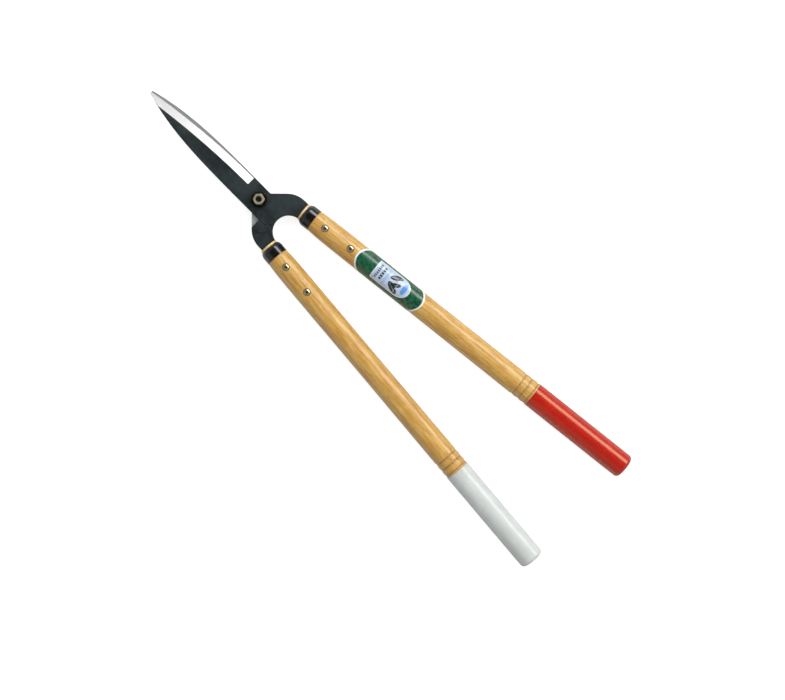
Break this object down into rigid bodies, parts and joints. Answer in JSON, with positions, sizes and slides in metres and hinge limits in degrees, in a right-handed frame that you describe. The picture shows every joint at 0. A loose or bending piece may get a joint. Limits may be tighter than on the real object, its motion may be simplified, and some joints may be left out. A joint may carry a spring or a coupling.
{
  "type": "hedge shears",
  "caption": "Two-handed hedge shears: long straight forged blades on a bolted pivot, with long round oak handles, black ferrules and coloured grips.",
  "frame": {"origin": "on the pivot axis, at the flat back face of the pivot bolt's head", "axes": "+Y along the closed blades to their tips, +Z along the pivot axis from the bolt head to the nut, +X towards the red-gripped handle's side"},
  "size_m": [0.1935, 0.7519, 0.0336],
  "materials": {
    "forged_steel": "dark forge scale, with the cutting bevels and mating faces ground bright",
    "bolt_steel": "dark oiled steel, smooth",
    "black_washer": "blackened steel, satin",
    "yellow_zinc": "yellow zinc plating, satin",
    "oak": "clear lacquered oak with grain along the handle",
    "black_ferrule": "gloss black enamel",
    "white_coating": "smooth glossy off-white coating",
    "red_coating": "smooth glossy red coating",
    "rivet_brass": "smooth domed brass, lightly tarnished",
    "printed_label": "glossy printed film sticker, green with a pale panel"
  },
  "bodies": {
    "rear_half": {"rear_blade": "forged_steel", "pivot_bolt": "bolt_steel", "pivot_washer": "black_washer", "pivot_nut": "yellow_zinc", "white_handle_wood": "oak", "white_handle_ferrule": "black_ferrule", "white_grip": "white_coating", "white_handle_rivets": "rivet_brass"},
    "front_half": {"front_blade": "forged_steel", "red_handle_wood": "oak", "red_handle_ferrule": "black_ferrule", "red_grip": "red_coating", "red_handle_rivets": "rivet_brass", "red_handle_label": "printed_label"}
  },
  "joints": [
    {"name": "blade_pivot", "type": "hinge", "parent": "rear_half", "child": "front_half", "pos_m": [0, 0, 0.00815], "axis": [0, 0, 1], "range_deg": [0, 86]}
  ]
}
